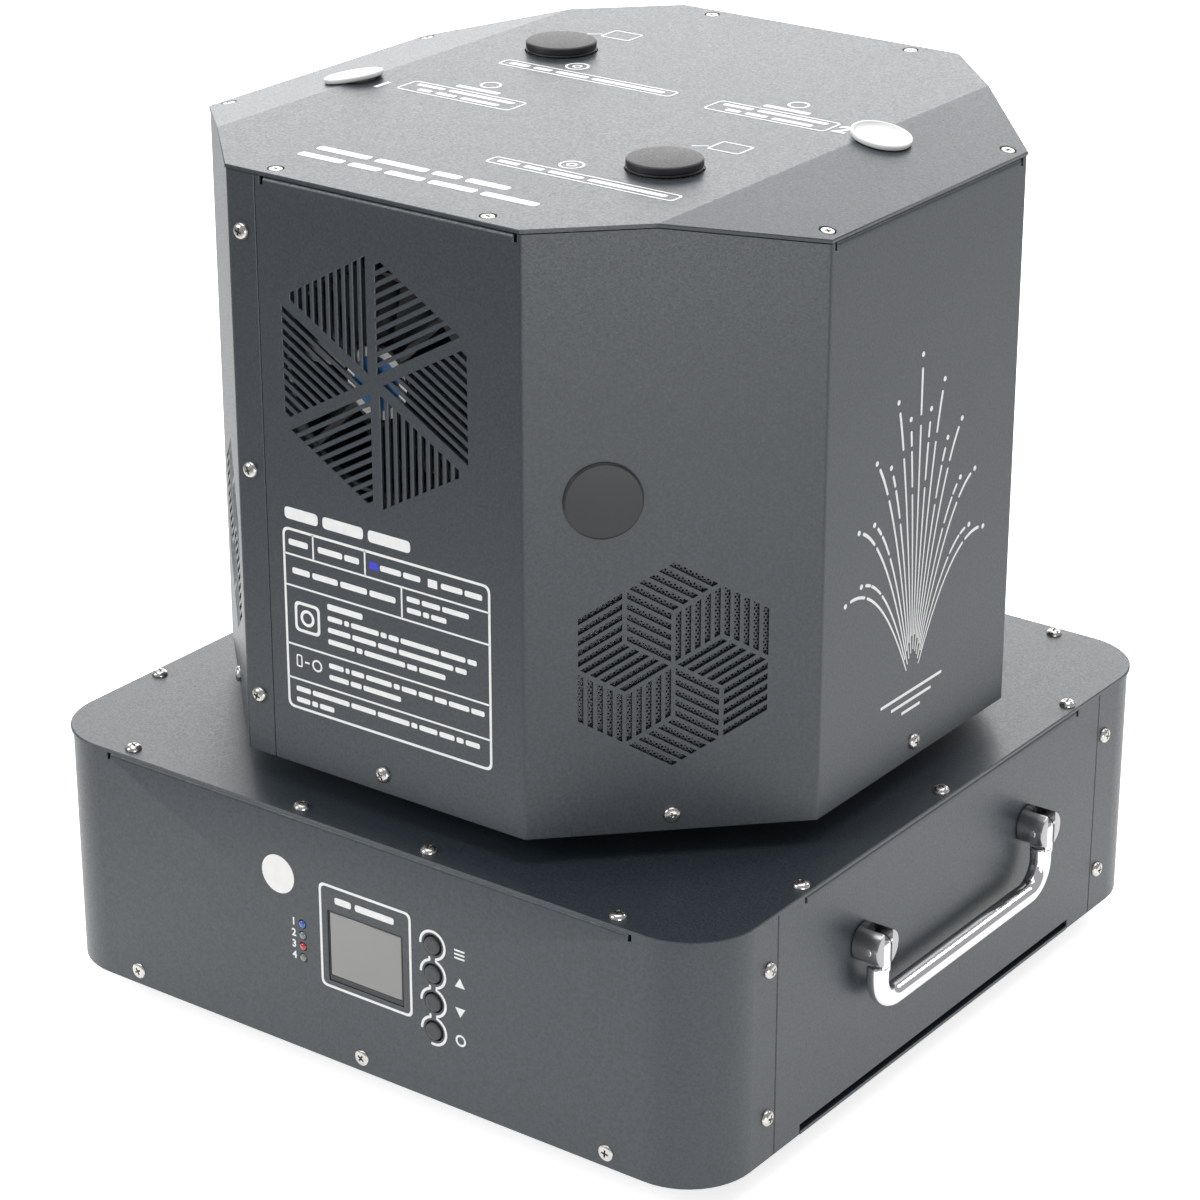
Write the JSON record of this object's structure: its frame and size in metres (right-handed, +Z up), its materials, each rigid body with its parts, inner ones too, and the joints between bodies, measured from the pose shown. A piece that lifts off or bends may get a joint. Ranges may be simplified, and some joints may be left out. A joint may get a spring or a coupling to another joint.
{
  "type": "rotating spark machine",
  "caption": "Stage spark effect unit: eight-sided spark head with hoppers and nozzles that turns on a square base with display, keys and folding handles.",
  "frame": {"origin": "middle of the footprint, on the surface that the rubber feet stand on", "axes": "+Z up along the axis the head turns on, -Y out of the display panel, +X and -X towards the two handles"},
  "size_m": [0.365, 0.342, 0.382],
  "materials": {
    "charcoal_paint": "satin near-black powder paint on sheet steel",
    "black_rubber": "matt black rubber",
    "steel": "turned steel",
    "chrome": "polished chrome plate",
    "display_glass": "grey-green display behind a clear window",
    "board_green": "green solder mask",
    "grey_plastic": "dark grey moulded plastic",
    "black_plastic": "black moulded plastic",
    "aluminium": "machined and spun aluminium",
    "zinc_plate": "zinc-plated sheet steel",
    "white_plastic": "white silicone"
  },
  "bodies": {
    "base": {"base_bottom_plate": "charcoal_paint", "base_front_shell": "charcoal_paint", "base_rear_shell": "charcoal_paint", "base_side_panel_right": "charcoal_paint", "base_side_panel_left": "charcoal_paint", "base_lid": "charcoal_paint", "rubber_foot_front_right": "black_rubber", "rubber_foot_front_left": "black_rubber", "rubber_foot_rear_right": "black_rubber", "rubber_foot_rear_left": "black_rubber", "drive_belt": "black_rubber", "handle_post_right_front": "steel", "handle_post_right_rear": "steel", "handle_post_left_front": "steel", "handle_post_left_rear": "steel", "turntable_bearing": "steel", "handle_pin_right_front": "chrome", "handle_pin_right_rear": "chrome", "handle_pin_left_front": "chrome", "handle_pin_left_rear": "chrome", "display_window": "display_glass", "control_board": "board_green", "slip_ring": "grey_plastic", "power_inlet": "black_plastic", "power_outlet": "black_plastic", "dmx_input": "black_plastic", "dmx_output": "black_plastic", "switch_housing": "black_plastic", "drive_motor": "black_plastic", "power_supply": "zinc_plate"},
    "head": {"head_spindle_pulley": "aluminium", "head_floor": "zinc_plate", "head_shell_front_right": "charcoal_paint", "head_shell_rear_left": "charcoal_paint", "head_top_plate": "charcoal_paint", "corner_plug": "black_plastic", "granule_hopper_right": "aluminium", "granule_hopper_left": "aluminium", "nozzle_barrel_right": "steel", "nozzle_barrel_left": "steel", "feed_motor_right": "zinc_plate", "feed_motor_left": "zinc_plate", "fan_frame_front": "black_plastic", "fan_frame_rear": "black_plastic"},
    "motor_pulley": {"motor_pulley": "aluminium"},
    "fan_wheel_front": {"fan_wheel_front": "black_plastic"},
    "fan_wheel_rear": {"fan_wheel_rear": "black_plastic"},
    "feed_screw_right": {"feed_screw_right": "steel"},
    "feed_screw_left": {"feed_screw_left": "steel"},
    "fill_cap_right": {"fill_cap_right": "black_rubber"},
    "fill_cap_left": {"fill_cap_left": "black_rubber"},
    "nozzle_cover_right": {"nozzle_cover_right": "white_plastic"},
    "nozzle_cover_left": {"nozzle_cover_left": "white_plastic"},
    "button_menu": {"button_menu": "grey_plastic"},
    "button_up": {"button_up": "grey_plastic"},
    "button_down": {"button_down": "grey_plastic"},
    "button_enter": {"button_enter": "grey_plastic"},
    "power_switch_rocker": {"power_switch_rocker": "black_plastic"},
    "handle_bail_right": {"handle_bail_right": "chrome"},
    "handle_bail_left": {"handle_bail_left": "chrome"}
  },
  "joints": [
    {"name": "head_spin", "type": "hinge", "parent": "base", "child": "head", "pos_m": [0, 0, 0.131], "axis": [0, 0, 1], "continuous": true},
    {"name": "motor_pulley_spin", "type": "hinge", "parent": "base", "child": "motor_pulley", "pos_m": [-0.1, -0.062, 0.084], "axis": [0, 0, 1], "continuous": true},
    {"name": "fan_front_spin", "type": "hinge", "parent": "head", "child": "fan_wheel_front", "pos_m": [0, -0.1502, 0.303], "axis": [0, -1, 0], "continuous": true},
    {"name": "fan_rear_spin", "type": "hinge", "parent": "head", "child": "fan_wheel_rear", "pos_m": [0, 0.1502, 0.303], "axis": [0, 1, 0], "continuous": true},
    {"name": "feed_screw_right_spin", "type": "hinge", "parent": "head", "child": "feed_screw_right", "pos_m": [0.068, -0.058, 0.24], "axis": [0.1762, 0.9844, 0], "continuous": true},
    {"name": "fill_cap_right_lift", "type": "slide", "parent": "head", "child": "fill_cap_right", "axis": [0, 0, 1], "range_m": [0, 0.02]},
    {"name": "nozzle_cover_right_lift", "type": "slide", "parent": "head", "child": "nozzle_cover_right", "axis": [0.1994, 0, 0.9799], "range_m": [0, 0.02]},
    {"name": "feed_screw_left_spin", "type": "hinge", "parent": "head", "child": "feed_screw_left", "pos_m": [-0.068, 0.058, 0.24], "axis": [-0.1762, -0.9844, 0], "continuous": true},
    {"name": "fill_cap_left_lift", "type": "slide", "parent": "head", "child": "fill_cap_left", "axis": [0, 0, 1], "range_m": [0, 0.02]},
    {"name": "nozzle_cover_left_lift", "type": "slide", "parent": "head", "child": "nozzle_cover_left", "axis": [-0.1994, 0, 0.9799], "range_m": [0, 0.02]},
    {"name": "button_menu_press", "type": "slide", "parent": "base", "child": "button_menu", "axis": [0, 1, 0], "range_m": [0, 0.0005], "stiffness_N_per_m": 4000},
    {"name": "button_up_press", "type": "slide", "parent": "base", "child": "button_up", "axis": [0, 1, 0], "range_m": [0, 0.0005], "stiffness_N_per_m": 4000},
    {"name": "button_down_press", "type": "slide", "parent": "base", "child": "button_down", "axis": [0, 1, 0], "range_m": [0, 0.0005], "stiffness_N_per_m": 4000},
    {"name": "button_enter_press", "type": "slide", "parent": "base", "child": "button_enter", "axis": [0, 1, 0], "range_m": [0, 0.0005], "stiffness_N_per_m": 4000},
    {"name": "power_switch_rock", "type": "hinge", "parent": "base", "child": "power_switch_rocker", "pos_m": [-0.096, 0.161, 0.066], "axis": [1, 0, 0], "range_deg": [-14, 0]},
    {"name": "handle_right_swing", "type": "hinge", "parent": "base", "child": "handle_bail_right", "pos_m": [0.178, 0, 0.081], "axis": [0, -1, 0], "range_deg": [0, 90]},
    {"name": "handle_left_swing", "type": "hinge", "parent": "base", "child": "handle_bail_left", "pos_m": [-0.178, 0, 0.081], "axis": [0, 1, 0], "range_deg": [0, 90]}
  ],
  "couplings": [
    {"joint": "motor_pulley_spin", "follows": "head_spin", "ratio": 5}
  ]
}
